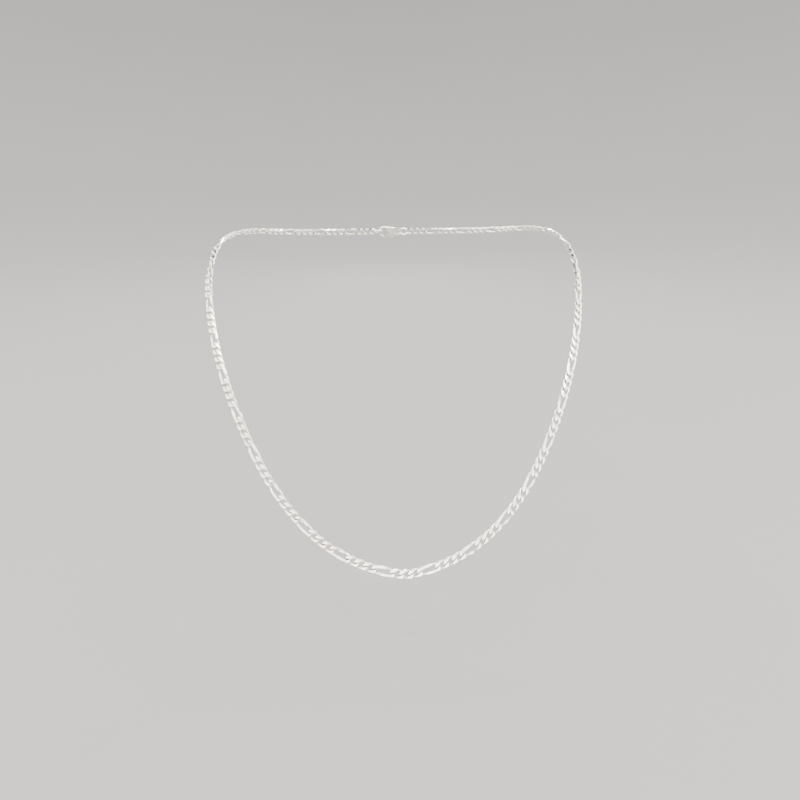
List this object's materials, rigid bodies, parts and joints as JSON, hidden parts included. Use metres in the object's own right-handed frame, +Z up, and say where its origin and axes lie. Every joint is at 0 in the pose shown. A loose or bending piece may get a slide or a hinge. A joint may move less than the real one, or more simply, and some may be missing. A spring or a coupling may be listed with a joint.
{
  "type": "chain necklace",
  "caption": "Flat figaro chain necklace of long and short curb links, closed at the nape by a lobster clasp with a sprung lever, lying in a loop as it is worn.",
  "frame": {"origin": "middle of the neck opening, level with the nape", "axes": "+Z is up as worn, the wearer faces -Y and the loop is widest along X"},
  "size_m": [0.1414, 0.1287, 0.105],
  "materials": {
    "link_silver": "polished",
    "clasp_silver": "polished",
    "spring_steel": "satin"
  },
  "bodies": {
    "back": {"left_back_links_10": "link_silver", "left_back_links_11": "link_silver", "left_back_links_12": "link_silver", "left_back_links_13": "link_silver", "left_back_links_14": "link_silver", "left_back_links_15": "link_silver", "left_back_links_16": "link_silver", "right_back_links_10": "link_silver", "right_back_links_11": "link_silver", "right_back_links_12": "link_silver", "right_back_links_13": "link_silver", "right_back_links_14": "link_silver", "right_back_links_15": "link_silver", "right_back_links_16": "link_silver"},
    "repeat_pair_09": {"left_long_link_09": "link_silver", "left_short_links_09": "link_silver", "right_long_link_09": "link_silver", "right_short_links_09": "link_silver"},
    "repeat_pair_08": {"left_long_link_08": "link_silver", "left_short_links_08": "link_silver", "right_long_link_08": "link_silver", "right_short_links_08": "link_silver"},
    "repeat_pair_07": {"left_long_link_07": "link_silver", "left_short_links_07": "link_silver", "right_long_link_07": "link_silver", "right_short_links_07": "link_silver"},
    "repeat_pair_06": {"left_long_link_06": "link_silver", "left_short_links_06": "link_silver", "right_long_link_06": "link_silver", "right_short_links_06": "link_silver"},
    "repeat_pair_05": {"left_long_link_05": "link_silver", "left_short_links_05": "link_silver", "right_long_link_05": "link_silver", "right_short_links_05": "link_silver"},
    "repeat_pair_04": {"left_long_link_04": "link_silver", "left_short_links_04": "link_silver", "right_long_link_04": "link_silver", "right_short_links_04": "link_silver"},
    "repeat_pair_03": {"left_long_link_03": "link_silver", "left_short_links_03": "link_silver", "right_long_link_03": "link_silver", "right_short_links_03": "link_silver"},
    "repeat_pair_02": {"left_long_link_02": "link_silver", "left_short_links_02": "link_silver", "right_long_link_02": "link_silver", "right_short_links_02": "link_silver"},
    "repeat_pair_01": {"left_long_link_01": "link_silver", "left_short_links_01": "link_silver", "right_long_link_01": "link_silver", "right_short_links_01": "link_silver"},
    "front_centre": {"front_short_links": "link_silver"},
    "clasp": {"clasp_body": "clasp_silver", "clasp_pin": "clasp_silver", "clasp_spring": "spring_steel", "clasp_jump_ring": "clasp_silver", "end_ring": "clasp_silver"},
    "lever": {"clasp_lever": "clasp_silver"}
  },
  "joints": [
    {"name": "lift_repeat_09", "type": "hinge", "parent": "back", "child": "repeat_pair_09", "pos_m": [0, -0.00983, -0.01414], "axis": [-1, 0, 0], "range_deg": [0, 14]},
    {"name": "lift_repeat_08", "type": "hinge", "parent": "repeat_pair_09", "child": "repeat_pair_08", "pos_m": [0, -0.01941, -0.0252], "axis": [-1, 0, 0], "range_deg": [0, 10]},
    {"name": "lift_repeat_07", "type": "hinge", "parent": "repeat_pair_08", "child": "repeat_pair_07", "pos_m": [0, -0.02861, -0.03623], "axis": [-1, 0, 0], "range_deg": [0, 10]},
    {"name": "lift_repeat_06", "type": "hinge", "parent": "repeat_pair_07", "child": "repeat_pair_06", "pos_m": [0, -0.03783, -0.04677], "axis": [-1, 0, 0], "range_deg": [0, 12]},
    {"name": "lift_repeat_05", "type": "hinge", "parent": "repeat_pair_06", "child": "repeat_pair_05", "pos_m": [0, -0.04639, -0.05736], "axis": [-1, 0, 0], "range_deg": [0, 10]},
    {"name": "lift_repeat_04", "type": "hinge", "parent": "repeat_pair_05", "child": "repeat_pair_04", "pos_m": [0, -0.05379, -0.06839], "axis": [-1, 0, 0], "range_deg": [0, 8]},
    {"name": "lift_repeat_03", "type": "hinge", "parent": "repeat_pair_04", "child": "repeat_pair_03", "pos_m": [0, -0.06011, -0.0793], "axis": [-1, 0, 0], "range_deg": [0, 7]},
    {"name": "lift_repeat_02", "type": "hinge", "parent": "repeat_pair_03", "child": "repeat_pair_02", "pos_m": [0, -0.06543, -0.08915], "axis": [-1, 0, 0], "range_deg": [0, 6]},
    {"name": "lift_repeat_01", "type": "hinge", "parent": "repeat_pair_02", "child": "repeat_pair_01", "pos_m": [0, -0.06958, -0.0966], "axis": [-1, 0, 0], "range_deg": [0, 6]},
    {"name": "lift_front_centre", "type": "hinge", "parent": "repeat_pair_01", "child": "front_centre", "pos_m": [0, -0.07227, -0.1006], "axis": [-1, 0, 0], "range_deg": [0, 10]},
    {"name": "clasp_swing", "type": "hinge", "parent": "back", "child": "clasp", "pos_m": [0, 0.05235, -0.00001], "axis": [1, 0, 0], "range_deg": [0, 14]},
    {"name": "clasp_lever_press", "type": "hinge", "parent": "clasp", "child": "lever", "pos_m": [0.0006, 0.05267, -0.00122], "axis": [0, 0.9659, 0.2588], "range_deg": [0, 18], "stiffness_Nm_per_rad": 0.001, "springref_deg": -34.38}
  ]
}
